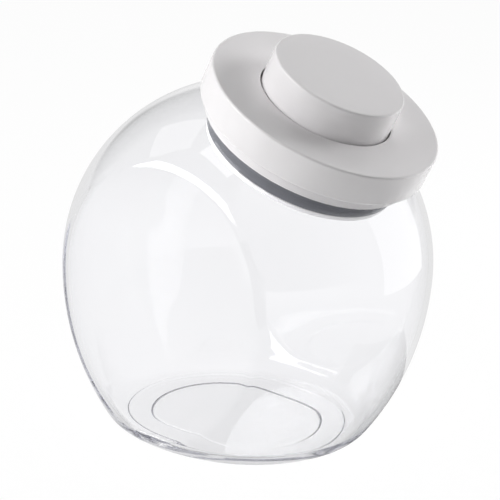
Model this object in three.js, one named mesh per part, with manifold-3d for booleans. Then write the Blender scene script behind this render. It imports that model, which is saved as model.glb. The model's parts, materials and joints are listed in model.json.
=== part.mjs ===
// Clear food jar with a slanted mouth and a push-button lid. Pushing the button swings four levers
// that press a ring down on the soft seal, so that it swells against the mouth.
// Millimetres, +Z up, origin on the floor under the middle of the base, mouth leaning towards -Y.
// The lid's pieces are drawn upright about the mouth axis, with z = 0 on the lid's top face.
import * as THREE from 'three';
import { mergeVertices } from 'three/addons/utils/BufferGeometryUtils.js';
import Module from 'manifold-3d';

const wasm = await Module();
wasm.setup();
const { Manifold, Mesh: SolidMesh } = wasm;

// Clearances.
const GAP = 0.35;               // between pieces that touch or stand still beside each other
const RUN = 0.4;                // beside a piece that slides or swings
const PIN_FIT = 0.12;           // round a pin

// Jar: a ball above its widest level, a flatter flank below it, and two parallel flat cuts.
const BODY_R = 94.5;
const BODY_Z = 87.4;
const FLANK_R = 142;
const FLAT_HALF = 71.3;         // centre plane to each flat side
const FOOT_POWER = 22;          // how sharply the foot's flats meet its round ends
const WALL = 2.8;
const CORNER_Z = 8;             // height where the base corner starts
const FOOT_R = 57;              // outer edge of the face the jar stands on
const FOOT_FLAT = 54.6;
const FOOT_STEP = 0.7;          // how far that face stands below the corner
const RECESS_R = 44.5;          // hollow under the base
const RECESS_FLAT = 38;
const RECESS_Z = 1;
const FLOOR_T = 2.8;
const TILT = THREE.MathUtils.degToRad(24.2);

// Frame that rests on the jar's rim, and the seal under it.
const FRAME_R = 55.2;
const STEP = 6.5;               // how far the frame shows below the skirt
const FRAME_WALL = 1.8;
const FRAME_FLOOR = 2;
const SEAT_W = 6.4;             // width of the frame's rim
const SEAL_ROOM = 7.6;          // inside of that rim to the inner wall that carries the seal
const HUB_T = 3.2;
const DECK_H = 6.1;             // height of the frame's arms and inner wall above its underside
const ARM_T = 2.6;
const ARM_W = 9;
const SEAL_IN = 4.2;            // outside of the frame to the outside of the seal
const SEAL_TAPER = 1.2;
const SEAL_H = 9.2;
const MOUTH_GAP = 0.5;          // between the slack seal and the jar's bore
const LIP_IN = 1.5;             // outside of the frame to the outside of the jar's rim
const BASE_T = 2.2;

// Lid cover and the button in its bore.
const OVERHANG = 4.8;           // outside of the frame to the outside of the skirt
const LID_EDGE = 1.2;
const SKIRT = 16.4;
const COVER_T = 2.4;
const HUB_ROOM = 4;             // inner wall of the frame to the button
const BUTTON_UP = 16.8;         // top of the raised button above the lid's top face
const BUTTON_T = 2.2;
const FLUSH = 0.2;              // what is left of that when the button is down
const BORE_GAP = 0.7;
const SLEEVE = 4.6;             // depth of the collar that guides the button

// Levers and their pins.
const LEVERS = 4;
const PIVOT_IN = 4;             // outside of the frame to the pins
const PIVOT_H = 7.9;            // height of the pins above the frame's underside
const TIP_IN = 1.7;             // outside of the button to where its rim meets the lever tips
const TIP_ROUND = 2.6;
const LEVER_T = 3.2;
const LEVER_W = 5;
const BOSS_R = 2.4;
const PIN_R = 1.1;
const EAR_T = 2.2;
const NOSE_ARM = 3.8;
const NOSE_DROP = 1.8;
const NOSE_R = 1.5;
const PRESS_T = 2.7;

// Stem, guide tower, spring and latch in the middle.
const STEM_R = 6.5;
const STEM_IN = 5;              // how far the raised stem stays in its tower
const TOWER_T = 2.4;
const TOWER_H = 10.9;           // height of the tower's top above the frame's underside
const KEY_W = 2.4;
const CARRIER_IN = 10.3;        // outside of the button to the carrier
const CARRIER_T = 2.2;
const SPRING_R = 12.6;
const WIRE_R = 0.8;
const CURLS = 9;
const LATCH_WIRE_R = 0.7;
const LATCH_R = 10.5;           // upright of the latch wire from the mouth axis
const LATCH_TIP_IN = 1.6;       // tower's top to the tip of the latch wire
const LATCH_FOOT_H = 4.45;      // lid's inside floor to the foot of the latch wire
const TRACK_DEPTH = 2.3;

// Sizes that follow.
const MOUTH_AXIS = new THREE.Vector3(0, -Math.sin(TILT), Math.cos(TILT));
const MOUTH_UP = new THREE.Vector3(0, Math.cos(TILT), Math.sin(TILT));
const BODY_MID = new THREE.Vector3(0, 0, BODY_Z);
const LIP_R = FRAME_R - LIP_IN;
const FRAME_BOTTOM = -SKIRT - STEP;
const RIM_Z = FRAME_BOTTOM - GAP;
const LID_RISE = Math.sqrt(BODY_R ** 2 - LIP_R ** 2) - RIM_Z;
const LID_MID = BODY_MID.clone().addScaledVector(MOUTH_AXIS, LID_RISE);
const LID_R = FRAME_R + OVERHANG;
const SEAT_R = FRAME_R - SEAT_W;
const HUB_R = SEAT_R - SEAL_ROOM;
const HUB_IN = HUB_R - HUB_T;
const DECK_Z = FRAME_BOTTOM + DECK_H;
const SEAL_R = FRAME_R - SEAL_IN;
const SEAL_LOW_R = SEAL_R - SEAL_TAPER;
const BUTTON_R = HUB_IN - HUB_ROOM;
const BORE_R = BUTTON_R + BORE_GAP;
const PIVOT_R = FRAME_R - PIVOT_IN;
const PIVOT_Z = FRAME_BOTTOM + PIVOT_H;
const TIP_R = BUTTON_R - TIP_IN;
const TRAVEL = BUTTON_UP - FLUSH;
const REST = Math.atan2(TRAVEL / 2, PIVOT_R - TIP_R);
const ARM = Math.hypot(TRAVEL / 2, PIVOT_R - TIP_R);
const BUTTON_BOTTOM = PIVOT_Z + TRAVEL / 2 + TIP_ROUND + GAP;
const HUB_NOTCH = PIVOT_Z - (PIVOT_R - HUB_IN) * Math.tan(REST) - LEVER_T - GAP;
const FRAME_TOP = -SKIRT + 4;
const PRESS_IN = HUB_R + RUN;
const PRESS_R = SEAT_R - RUN;
const PRESS_BOTTOM = FRAME_BOTTOM;
const NOSE_LIFT = NOSE_ARM * Math.sin(REST);
const NOSE_MID = PIVOT_Z - NOSE_DROP * Math.cos(REST) - NOSE_R - RUN;
const PAD_TOP = NOSE_MID + NOSE_LIFT;
const SEAL_TOP = FRAME_BOTTOM - RUN;
const SEAL_BOTTOM = SEAL_TOP - SEAL_H;
const BASE_TOP = SEAL_BOTTOM - GAP;
const BASE_BOTTOM = BASE_TOP - BASE_T;
const FLOOR_TOP = BASE_BOTTOM + 0.4;
const MOUTH_R = SEAL_R + MOUTH_GAP;
const TOWER_IN = STEM_R + RUN;
const TOWER_R = TOWER_IN + TOWER_T;
const TOWER_TOP = FRAME_BOTTOM + TOWER_H;
const STEM_BOTTOM = TOWER_TOP - STEM_IN;
const LATCH_TIP_Z = TOWER_TOP - LATCH_TIP_IN;
const LATCH_FOOT_Z = FLOOR_TOP + LATCH_FOOT_H;
const CARRIER_R = BUTTON_R - CARRIER_IN;
const CARRIER_TOP = BUTTON_UP - BUTTON_T - GAP;
const CARRIER_BOTTOM = CARRIER_TOP - CARRIER_T;
const POST_ANGLES = [0, 1, 2, 3].map((i) => (i * Math.PI) / 2);
const LEVER_ANGLES = Array.from({ length: LEVERS }, (_, i) => Math.PI / LEVERS + (i * 2 * Math.PI) / LEVERS);

// Materials.
const paint = (color, roughness, metalness = 0) => new THREE.MeshStandardMaterial({ color, roughness, metalness });
const CLEAR = paint(0xe6ecee, 0.08);
const WHITE = paint(0xf1f1f0, 0.3);
const INNER = paint(0xe4e5e4, 0.45);
const GREY_SEAL = paint(0x5d646b, 0.6);
const STEEL = paint(0xb9bcc0, 0.3, 1);

// A shape as a solid that can be joined and cut, and back to a plain surface.
function solid(geometry) {
  geometry.deleteAttribute('normal');
  geometry.deleteAttribute('uv');
  const merged = mergeVertices(geometry, 1e-4);
  return new Manifold(new SolidMesh({
    numProp: 3,
    vertProperties: new Float32Array(merged.attributes.position.array),
    triVerts: new Uint32Array(merged.index.array),
  }));
}

function surface(body) {
  const mesh = body.getMesh();
  const geometry = new THREE.BufferGeometry();
  geometry.setAttribute('position', new THREE.BufferAttribute(mesh.vertProperties, 3));
  geometry.setIndex(new THREE.BufferAttribute(mesh.triVerts, 1));
  return geometry;
}

// Outline turned about Z. Points are [radius, z], anticlockwise, from axis to axis or closed.
function turned(points, segments = 52) {
  const outline = points.map(([r, z]) => new THREE.Vector2(r, z));
  if (points[0][0] > 0) outline.push(outline[0].clone());
  return solid(new THREE.LatheGeometry(outline, segments).rotateX(Math.PI / 2));
}

// Outline in x and z, given a width along y and centred on it.
function slab(points, width) {
  const outline = new THREE.Shape(points.map(([x, z]) => new THREE.Vector2(x, z)));
  const geometry = new THREE.ExtrudeGeometry(outline, { depth: width, bevelEnabled: false });
  return solid(geometry.translate(0, 0, -width / 2).rotateX(Math.PI / 2));
}

function block(x0, x1, y0, y1, z0, z1) {
  const geometry = new THREE.BoxGeometry(x1 - x0, y1 - y0, z1 - z0);
  return solid(geometry.translate((x0 + x1) / 2, (y0 + y1) / 2, (z0 + z1) / 2));
}

function peg(radius, z0, z1, x = 0, segments = 16) {
  const geometry = new THREE.CylinderGeometry(radius, radius, z1 - z0, segments).rotateX(Math.PI / 2);
  return solid(geometry.translate(x, 0, (z0 + z1) / 2));
}

// Round rod along y at [x, z].
function rod(radius, width, x, z, segments = 16) {
  const geometry = new THREE.CylinderGeometry(radius, radius, width, segments);
  return solid(geometry.translate(x, 0, z));
}

function arc(r, z, radius, from, to, steps = 4) {
  return Array.from({ length: steps + 1 }, (_, i) => {
    const angle = ((from + ((to - from) * i) / steps) * Math.PI) / 180;
    return [r + radius * Math.cos(angle), z + radius * Math.sin(angle)];
  });
}

const around = (body, angles) => angles.map((a) => body.rotate([0, 0, (a * 180) / Math.PI]));
const joined = (bodies) => bodies.reduce((sum, body) => sum.add(body));
const cut = (body, bodies) => bodies.reduce((rest, tool) => rest.subtract(tool), body);

const part = new THREE.Group();
part.name = 'storage_jar';
const lid = new THREE.Group();
lid.name = 'lid';
lid.position.copy(LID_MID);
lid.rotation.x = TILT;
part.add(lid);

function piece(name, geometry, material, turn = 0) {
  geometry.computeVertexNormals();
  const mesh = new THREE.Mesh(geometry, material);
  mesh.name = name;
  mesh.rotation.z = turn;
  return mesh;
}

const addToLid = (name, body, material, turn) => lid.add(piece(name, surface(body), material, turn));

// Jar body: a round outside lofted up from the hollow under the base, less a round inside lofted up
// from the floor, each cut flat on two sides.
const RING = 60;
const TURN = Array.from({ length: RING }, (_, i) => (i * 2 * Math.PI) / RING);

function isInside(x, y, z, inset) {
  const level = z - BODY_Z;
  const ball = Math.sqrt(Math.max((BODY_R - inset) ** 2 - level ** 2, 0));
  const flank = BODY_R - FLANK_R + Math.sqrt((FLANK_R - inset) ** 2 - level ** 2);
  return Math.hypot(x, y) < (level > 0 ? ball : flank);
}

// Section of the round body, inset by the wall, on a plane through mid that climbs to the back.
function section(mid, slope, inset) {
  const lean = Math.atan(slope);
  return TURN.map((angle) => {
    const way = new THREE.Vector3(
      Math.cos(angle), Math.sin(angle) * Math.cos(lean), Math.sin(angle) * Math.sin(lean));
    let near = 0;
    let far = 2 * BODY_R;
    for (let i = 0; i < 40; i++) {
      const reach = (near + far) / 2;
      const p = mid.clone().addScaledVector(way, reach);
      if (isInside(p.x, p.y, p.z, inset)) near = reach;
      else far = reach;
    }
    return mid.clone().addScaledVector(way, near);
  });
}

// Sections on planes that fan from the mouth to the base, at even angles round the ball.
function fan(rimR, bottomZ, inset, steps) {
  const ball = BODY_R - inset;
  const top = Math.asin(rimR / ball);
  const end = Math.acos((bottomZ - BODY_Z) / ball);
  const mouthMid = BODY_MID.clone().addScaledVector(MOUTH_AXIS, ball * Math.cos(top));
  return Array.from({ length: steps + 1 }, (_, i) => {
    const angle = top + ((end - top) * i) / steps;
    const share = (Math.cos(top) - Math.cos(angle)) / (Math.cos(top) - Math.cos(end));
    const mid = new THREE.Vector3(
      0, mouthMid.y * (1 - share), mouthMid.z * (1 - share) + bottomZ * share);
    return section(mid, Math.tan(TILT) * (1 - share), inset);
  });
}

// Level outline of a circle with the two flats.
function outline(radius, flat, z) {
  return TURN.map((angle) => {
    const soft = radius ** -FOOT_POWER + (Math.abs(Math.cos(angle)) / flat) ** FOOT_POWER;
    const reach = soft ** (-1 / FOOT_POWER);
    return new THREE.Vector3(reach * Math.cos(angle), reach * Math.sin(angle), z);
  });
}

// Rounded corner from the body's section at topZ in to an outline on the level floorZ.
function corner(topZ, inset, foot, steps) {
  const floorZ = foot[0].z;
  const start = section(new THREE.Vector3(0, 0, topZ), 0, inset);
  const above = section(new THREE.Vector3(0, 0, topZ + 1), 0, inset);
  return Array.from({ length: steps }, (_, k) => {
    const t = (k + 1) / steps;
    return start.map((p, i) => {
      const bend = p.clone().addScaledVector(p.clone().sub(above[i]), topZ - floorZ);
      const first = p.clone().lerp(bend, t);
      return first.lerp(bend.lerp(foot[i], t), t);
    });
  });
}

// Circle about the mouth axis, z from the lid's top face.
function mouthRing(radius, z) {
  const mid = LID_MID.clone().addScaledVector(MOUTH_AXIS, z);
  return TURN.map((angle) => mid.clone()
    .add(new THREE.Vector3(radius * Math.cos(angle), 0, 0))
    .addScaledVector(MOUTH_UP, radius * Math.sin(angle)));
}

const level = (z) => [new THREE.Vector3(0, 0, z)];
const mouthMiddle = (z) => [LID_MID.clone().addScaledVector(MOUTH_AXIS, z)];

function loft(rings) {
  const points = rings.flat();
  const starts = [];
  rings.reduce((count, ring) => {
    starts.push(count);
    return count + ring.length;
  }, 0);
  const faces = [];
  for (let k = 0; k + 1 < rings.length; k++) {
    const low = rings[k].length;
    const high = rings[k + 1].length;
    for (let i = 0; i < RING; i++) {
      const j = (i + 1) % RING;
      const a = starts[k] + (low > 1 ? i : 0);
      const b = starts[k] + (low > 1 ? j : 0);
      const c = starts[k + 1] + (high > 1 ? j : 0);
      const d = starts[k + 1] + (high > 1 ? i : 0);
      if (low > 1) faces.push(a, b, c);
      if (high > 1) faces.push(a, c, d);
    }
  }
  const geometry = new THREE.BufferGeometry().setFromPoints(points);
  geometry.setIndex(faces);
  return geometry;
}

const FLOOR_Z = RECESS_Z + FLOOR_T;
const FLOOR_CORNER = FLOOR_Z + CORNER_Z;
const foot = outline(FOOT_R + 0.2, FOOT_FLAT + 0.2, FOOT_STEP);
const floorEdge = outline(FOOT_R - WALL, FOOT_FLAT - WALL, FLOOR_Z);
const outside = fan(LIP_R + 0.5, CORNER_Z, 0, 17);
const inside = fan(MOUTH_R + 0.5, FLOOR_CORNER, WALL, 13);
const LAND_Z = Math.sqrt((BODY_R - WALL) ** 2 - MOUTH_R ** 2) - LID_RISE + 0.3;
const flatCut = (half) => block(-half, half, -2 * BODY_R, 2 * BODY_R, -BODY_R, 4 * BODY_R);
const jarOutside = solid(loft([
  level(RECESS_Z),
  outline(RECESS_R - 0.9, RECESS_FLAT - 0.9, RECESS_Z),
  outline(RECESS_R - 0.3, RECESS_FLAT - 0.3, RECESS_Z * 0.8),
  outline(RECESS_R, RECESS_FLAT, 0),
  outline(FOOT_R, FOOT_FLAT, 0),
  ...corner(CORNER_Z, 0, foot, 5).reverse(),
  ...outside.reverse(),
  mouthRing(LIP_R + 0.2, RIM_Z - 0.1),
  mouthRing(LIP_R - 0.3, RIM_Z),
  mouthMiddle(RIM_Z),
]));
const jarInside = solid(loft([
  level(FLOOR_Z),
  ...corner(FLOOR_CORNER, WALL, floorEdge, 5).reverse(),
  ...inside.reverse(),
  mouthRing(MOUTH_R, LAND_Z),
  mouthRing(MOUTH_R, RIM_Z - 0.4),
  mouthRing(MOUTH_R + 0.4, RIM_Z),
  mouthRing(MOUTH_R + 0.4, RIM_Z + 1),
  mouthMiddle(RIM_Z + 1),
]));
const jarSolid = jarOutside.intersect(flatCut(FLAT_HALF))
  .subtract(jarInside.intersect(flatCut(FLAT_HALF - WALL)));
part.add(piece('jar_body', surface(jarSolid), CLEAR));

// Cover: top with a bore for the button, skirt, guide collar and four posts into the frame.
const POST_X = (SEAT_R + FRAME_R) / 2;
const POST_R = 1.7;
const COLUMN_R = 3.2;
const POST_END = DECK_Z - 3.6;
const coverShell = turned([
  [BORE_R, -SLEEVE],
  [BORE_R + 2.2, -SLEEVE],
  [BORE_R + 2.2, -COVER_T],
  [LID_R - COVER_T, -COVER_T],
  [LID_R - COVER_T, -SKIRT],
  ...arc(LID_R - 0.7, -SKIRT + 0.7, 0.7, -90, 0, 2),
  ...arc(LID_R - LID_EDGE, -LID_EDGE, LID_EDGE, 0, 90),
  ...arc(BORE_R + 0.8, -0.8, 0.8, 90, 180, 3),
]);
const post = peg(POST_R, POST_END, -COVER_T + 0.5, POST_X);
addToLid('lid_cover', joined([coverShell, ...around(post, POST_ANGLES)]), WHITE);

// Frame: channel that rests on the rim, columns for the posts, ears for the levers, and an inner
// wall on four arms, notched where the levers swing.
const channel = turned([
  [SEAT_R, FRAME_BOTTOM],
  ...arc(FRAME_R - 0.5, FRAME_BOTTOM + 0.5, 0.5, -90, 0, 2),
  [FRAME_R, FRAME_TOP],
  [FRAME_R - FRAME_WALL, FRAME_TOP],
  [FRAME_R - FRAME_WALL, FRAME_BOTTOM + FRAME_FLOOR],
  [SEAT_R + FRAME_WALL, FRAME_BOTTOM + FRAME_FLOOR],
  [SEAT_R + FRAME_WALL, DECK_Z],
  [SEAT_R, DECK_Z],
]);
const hub = turned([
  [HUB_IN, SEAL_BOTTOM],
  [HUB_R, SEAL_BOTTOM],
  [HUB_R, DECK_Z],
  [HUB_IN, DECK_Z],
]);
const arm = block(HUB_R - 1, SEAT_R + 1, -ARM_W / 2, ARM_W / 2, DECK_Z - ARM_T, DECK_Z);
const column = peg(COLUMN_R, FRAME_BOTTOM + 0.5, DECK_Z, POST_X);
const socket = peg(POST_R + GAP, POST_END - GAP, FRAME_TOP + 1, POST_X);
const EAR_Y = LEVER_W / 2 + RUN;
const ears = [1, -1].map((side) => slab([
  [PIVOT_R - BOSS_R, FRAME_BOTTOM + 1],
  [PIVOT_R + BOSS_R, FRAME_BOTTOM + 1],
  ...arc(PIVOT_R, PIVOT_Z, BOSS_R, 0, 180, 8),
], EAR_T).translate([0, side * (EAR_Y + EAR_T / 2), 0]));
const pinHole = rod(PIN_R + PIN_FIT, LEVER_W + 4 * EAR_T, PIVOT_R, PIVOT_Z);
const pocket = block(
  SEAT_R - 1, PIVOT_R + BOSS_R + RUN, -EAR_Y, EAR_Y, NOSE_MID - NOSE_LIFT, FRAME_TOP + 1);
const notchHalf = LEVER_W / 2 + 2 * RUN;
const notch = block(HUB_IN - 2, HUB_R + 2, -notchHalf, notchHalf, HUB_NOTCH, DECK_Z + 1);
const frameSolid = joined([
  channel,
  hub,
  ...around(arm, POST_ANGLES),
  ...around(column, POST_ANGLES),
  ...ears.flatMap((ear) => around(ear, LEVER_ANGLES)),
]);
addToLid('lid_frame', cut(frameSolid, [
  ...around(socket, POST_ANGLES),
  ...around(pinHole, LEVER_ANGLES),
  ...around(pocket, LEVER_ANGLES),
  ...around(notch, LEVER_ANGLES),
]), WHITE);

// Ring that the levers press down on the seal, with a pad under each lever's nose.
const pressBand = turned([
  [PRESS_IN, PRESS_BOTTOM],
  [PRESS_R, PRESS_BOTTOM],
  [PRESS_R, PRESS_BOTTOM + PRESS_T],
  [PRESS_IN, PRESS_BOTTOM + PRESS_T],
]);
const pad = block(PRESS_IN + 3, PRESS_R - 0.2, -LEVER_W / 2, LEVER_W / 2, PRESS_BOTTOM + 1, PAD_TOP);
addToLid('press_ring', joined([pressBand, ...around(pad, LEVER_ANGLES)]), INNER);

// Soft seal between the press ring and the base.
addToLid('seal_ring', turned([
  [HUB_R + GAP, SEAL_BOTTOM],
  ...arc(SEAL_LOW_R - 0.8, SEAL_BOTTOM + 0.8, 0.8, -90, 0, 3),
  [SEAL_R, SEAL_TOP - 3],
  ...arc(SEAL_R - 0.8, SEAL_TOP - 0.8, 0.8, 0, 90, 3),
  [HUB_R + GAP, SEAL_TOP],
]), GREY_SEAL);

// Base that closes the lid from below, with the tower that guides the button's stem.
const SNAP_R = HUB_IN - GAP;
const SNAP_TOP = PIVOT_Z - TRAVEL / 2 - TIP_ROUND - 2 * GAP;
const BASE_R = SEAL_LOW_R - 0.6;
const baseShell = turned([
  [0, BASE_BOTTOM - 1.8],
  [HUB_R - 0.6, BASE_BOTTOM - 1.8],
  [HUB_R + 1.2, BASE_BOTTOM],
  ...arc(BASE_R - 0.5, BASE_BOTTOM + 0.5, 0.5, -90, 0, 2),
  ...arc(BASE_R - 0.5, BASE_TOP - 0.5, 0.5, 0, 90, 2),
  [SNAP_R, BASE_TOP],
  [SNAP_R, SNAP_TOP],
  [SNAP_R - 2.4, SNAP_TOP],
  [SNAP_R - 2.4, FLOOR_TOP],
  [TOWER_R, FLOOR_TOP],
  [TOWER_R, TOWER_TOP],
  [TOWER_IN, TOWER_TOP],
  [TOWER_IN, FLOOR_TOP],
  [0, FLOOR_TOP],
]);
const TIP_SWING = 4.3;
const tipNotch = block(
  STEM_R - 1, TOWER_R + 1, -TIP_SWING, TIP_SWING, LATCH_TIP_Z - 2, TOWER_TOP + 1);
const footHole = peg(LATCH_WIRE_R + 2 * PIN_FIT, STEM_R - 1, TOWER_R + 1)
  .rotate([0, 90, 0])
  .translate([0, 0, LATCH_FOOT_Z]);
const keySlot = block(
  -TOWER_R - 1, -STEM_R + 1, -KEY_W / 2 - RUN, KEY_W / 2 + RUN, FLOOR_TOP + 0.2, TOWER_TOP + 1);
addToLid('lid_base', cut(baseShell, [tipNotch, footHole, keySlot]), WHITE);

// Button cap: dished top, rim turned in at the bottom, and a ring that snaps round the carrier.
const CAP_IN = BUTTON_UP - BUTTON_T;
const CLIP_R = CARRIER_R + GAP;
const CLIP_END = CARRIER_BOTTOM - 1.3;
addToLid('push_button', turned([
  [0, CAP_IN - 0.4],
  [CLIP_R, CAP_IN],
  [CLIP_R, CARRIER_BOTTOM - GAP],
  [CARRIER_R - 0.3, CARRIER_BOTTOM - GAP - 0.5],
  [CARRIER_R - 0.3, CLIP_END],
  [CLIP_R + 2, CLIP_END],
  [CLIP_R + 2, CAP_IN],
  [BUTTON_R - BUTTON_T, CAP_IN - 0.4],
  [BUTTON_R - BUTTON_T, BUTTON_BOTTOM + 2.2],
  [TIP_R - TIP_ROUND, BUTTON_BOTTOM + 2.2],
  [TIP_R - TIP_ROUND, BUTTON_BOTTOM],
  ...arc(BUTTON_R - 0.4, BUTTON_BOTTOM + 0.4, 0.4, -90, 0, 2),
  ...arc(BUTTON_R - 1.1, BUTTON_UP - 1.1, 1.1, 0, 90),
  [BUTTON_R - 6, BUTTON_UP],
  [0, BUTTON_UP - 0.5],
]), WHITE);

// Carrier in the button, its stem cut with a heart-shaped latch track and keyed to the tower.
const COLLAR_R = SPRING_R - WIRE_R - 1;
const carrierShell = turned([
  [0, STEM_BOTTOM],
  [STEM_R - 0.5, STEM_BOTTOM],
  [STEM_R, STEM_BOTTOM + 0.5],
  [STEM_R, CARRIER_BOTTOM - 2.6],
  [COLLAR_R, CARRIER_BOTTOM - 2.6],
  [COLLAR_R, CARRIER_BOTTOM],
  [CARRIER_R, CARRIER_BOTTOM],
  [CARRIER_R, CARRIER_TOP - 0.6],
  [0, CARRIER_TOP - 0.6],
], 48);
const key = block(
  -TOWER_R + 0.6, -STEM_R + 1, -KEY_W / 2, KEY_W / 2, STEM_BOTTOM, CARRIER_BOTTOM - 2);
const track = [
  [-1.1, -1.1], [1.1, -1.1], [1.4, 1.2], [4, 11.6], [4, 17.2], [2.8, 18.6],
  [-2.8, 18.6], [-4, 17.2], [-4, 11.6], [-1.4, 1.2],
];
const heart = [
  [0, 9.4], [0.75, 12.1], [0.95, 13.9], [0.45, 14.6], [0, 13.8],
  [-0.45, 14.6], [-0.95, 13.9], [-0.75, 12.1],
];
const grooved = (points, from, to) => slab(points, to - from)
  .rotate([0, 0, 90])
  .translate([(from + to) / 2, 0, LATCH_TIP_Z]);
const trackCut = grooved(track, STEM_R - TRACK_DEPTH, STEM_R + 1)
  .subtract(grooved(heart, STEM_R - TRACK_DEPTH - 1, STEM_R - 0.2));
addToLid('button_carrier', carrierShell.add(key).subtract(trackCut), INNER);

// Return spring round the tower: one helix with closed end curls.
class Coil extends THREE.Curve {
  getPoint(t, target = new THREE.Vector3()) {
    const low = FLOOR_TOP + GAP + WIRE_R;
    const high = CARRIER_BOTTOM - GAP - WIRE_R;
    const turn = t * CURLS;
    const closed = 2.6 * WIRE_R;
    const open = (high - low - 2 * closed) / (CURLS - 2);
    const middle = Math.min(Math.max(turn - 1, 0), CURLS - 2);
    const z = low + closed * Math.min(turn, 1) + open * middle + closed * Math.max(turn - CURLS + 1, 0);
    return target.set(SPRING_R * Math.cos(turn * 2 * Math.PI), SPRING_R * Math.sin(turn * 2 * Math.PI), z);
  }
}

function roundWire(path, radius, steps, sides) {
  const ring = Array.from({ length: sides }, (_, i) => new THREE.Vector2(
    radius * Math.cos((i * 2 * Math.PI) / sides), radius * Math.sin((i * 2 * Math.PI) / sides)));
  return solid(new THREE.ExtrudeGeometry(new THREE.Shape(ring), { steps, extrudePath: path }));
}

const coil = new Coil();
const coilPoints = coil.getPoints(CURLS * 24);
let selfGap = Infinity;
coilPoints.forEach((p, i) => coilPoints.slice(i + 12).forEach((q) => {
  selfGap = Math.min(selfGap, p.distanceTo(q) - 2 * WIRE_R);
}));
console.log(`return_spring least gap to itself ${selfGap.toFixed(2)} mm`);
addToLid('return_spring', roundWire(coil, WIRE_R, CURLS * 8, 5), STEEL);

// Latch wire: foot in the tower, upright beside it, tip in the stem's track.
const BEND = 1.4;
const latchPath = new THREE.CurvePath();
const latchPoint = (x, z) => new THREE.Vector3(x, 0, z);
const latchCorners = [
  latchPoint(TOWER_IN + GAP, LATCH_FOOT_Z),
  latchPoint(LATCH_R, LATCH_FOOT_Z),
  latchPoint(LATCH_R, LATCH_TIP_Z),
  latchPoint(STEM_R - TRACK_DEPTH + RUN, LATCH_TIP_Z),
];
const lowBend = [latchPoint(LATCH_R - BEND, LATCH_FOOT_Z), latchPoint(LATCH_R, LATCH_FOOT_Z + BEND)];
const highBend = [latchPoint(LATCH_R, LATCH_TIP_Z - BEND), latchPoint(LATCH_R - BEND, LATCH_TIP_Z)];
latchPath.add(new THREE.LineCurve3(latchCorners[0], lowBend[0]));
latchPath.add(new THREE.QuadraticBezierCurve3(lowBend[0], latchCorners[1], lowBend[1]));
latchPath.add(new THREE.LineCurve3(lowBend[1], highBend[0]));
latchPath.add(new THREE.QuadraticBezierCurve3(highBend[0], latchCorners[2], highBend[1]));
latchPath.add(new THREE.LineCurve3(highBend[1], latchCorners[3]));
addToLid('latch_wire', roundWire(latchPath, LATCH_WIRE_R, 32, 7), STEEL);

// Levers: boss on the pin, nose over the press ring, rounded tip under the button's rim.
const swung = (u, v) => [
  PIVOT_R - u * Math.cos(REST) + v * Math.sin(REST),
  PIVOT_Z + u * Math.sin(REST) + v * Math.cos(REST),
];
const bar = slab([
  swung(0, LEVER_T / 2), swung(ARM, LEVER_T / 2), swung(ARM, -LEVER_T / 2), swung(0, -LEVER_T / 2),
], LEVER_W);
const lever = joined([
  rod(BOSS_R, LEVER_W, PIVOT_R, PIVOT_Z, 20),
  bar,
  rod(TIP_ROUND, LEVER_W, ...swung(ARM, 0), 20),
  rod(NOSE_R, LEVER_W, ...swung(NOSE_ARM, -NOSE_DROP)),
]).subtract(pinHole);
const pin = rod(PIN_R, LEVER_W + 2 * (RUN + EAR_T), PIVOT_R, PIVOT_Z);
LEVER_ANGLES.forEach((angle, i) => {
  addToLid(`lever_${i + 1}`, lever, INNER, angle);
  addToLid(`lever_pin_${i + 1}`, pin, STEEL, angle);
});

export default part;
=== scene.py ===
import json
import math

import bmesh
import bpy
from bpy.props import FloatProperty, FloatVectorProperty, IntProperty, PointerProperty
from mathutils import Matrix, Vector


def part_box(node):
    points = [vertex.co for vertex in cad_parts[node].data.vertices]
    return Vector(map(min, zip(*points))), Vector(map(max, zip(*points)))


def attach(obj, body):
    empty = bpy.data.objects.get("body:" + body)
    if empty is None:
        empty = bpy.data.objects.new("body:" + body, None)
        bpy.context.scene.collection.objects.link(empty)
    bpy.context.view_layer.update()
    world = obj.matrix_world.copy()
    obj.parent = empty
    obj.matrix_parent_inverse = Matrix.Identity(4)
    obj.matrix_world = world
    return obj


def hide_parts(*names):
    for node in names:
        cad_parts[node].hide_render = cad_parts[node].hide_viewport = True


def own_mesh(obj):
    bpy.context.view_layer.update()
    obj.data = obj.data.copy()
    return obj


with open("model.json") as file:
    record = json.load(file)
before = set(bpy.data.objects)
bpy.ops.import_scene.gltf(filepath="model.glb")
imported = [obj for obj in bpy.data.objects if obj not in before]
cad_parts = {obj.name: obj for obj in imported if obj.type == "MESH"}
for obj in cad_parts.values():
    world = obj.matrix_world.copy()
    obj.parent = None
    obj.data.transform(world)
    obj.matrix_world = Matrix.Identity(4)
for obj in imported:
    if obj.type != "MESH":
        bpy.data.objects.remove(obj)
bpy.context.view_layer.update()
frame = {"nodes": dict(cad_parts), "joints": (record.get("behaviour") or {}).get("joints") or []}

bl_info = {
    "name": "Slant-Mouth Storage Jar",
    "version": (1, 0, 0),
    "blender": (4, 5, 0),
    "location": "View3D > Sidebar > Storage Jar",
    "description": "Dresses the CAD frame of a clear storage jar with a push-button lid",
    "category": "Object",
}

MM = 0.001
FULL_TURN = 2 * math.pi
LIFT_AXIS = Vector(next(j["axis"] for j in frame["joints"] if j["name"] == "lid_lift"))
JAR_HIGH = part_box("jar_body")[1]
# Points closer than these gaps, in metres, count as one: in turned shapes and in thin wires and cuts.
MERGE_GAP = 1e-6
FINE_GAP = 1e-7
# Half the band, seen from the ball's middle, where rows lie close together along a crease.
CREASE_BAND = math.radians(3.6)
# Shares of the rows from a flat's middle at which that band starts and ends.
BAND_SHARES = (0.3, 0.62)
# Rounding of the mouth's edges, and the gap between its bore and the seal.
LIP_ROUND = 0.5 * MM
SEAL_ROOM = 0.5 * MM
# Rows in the rounded corner between the body and the foot.
CORNER_STEPS = 14
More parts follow.
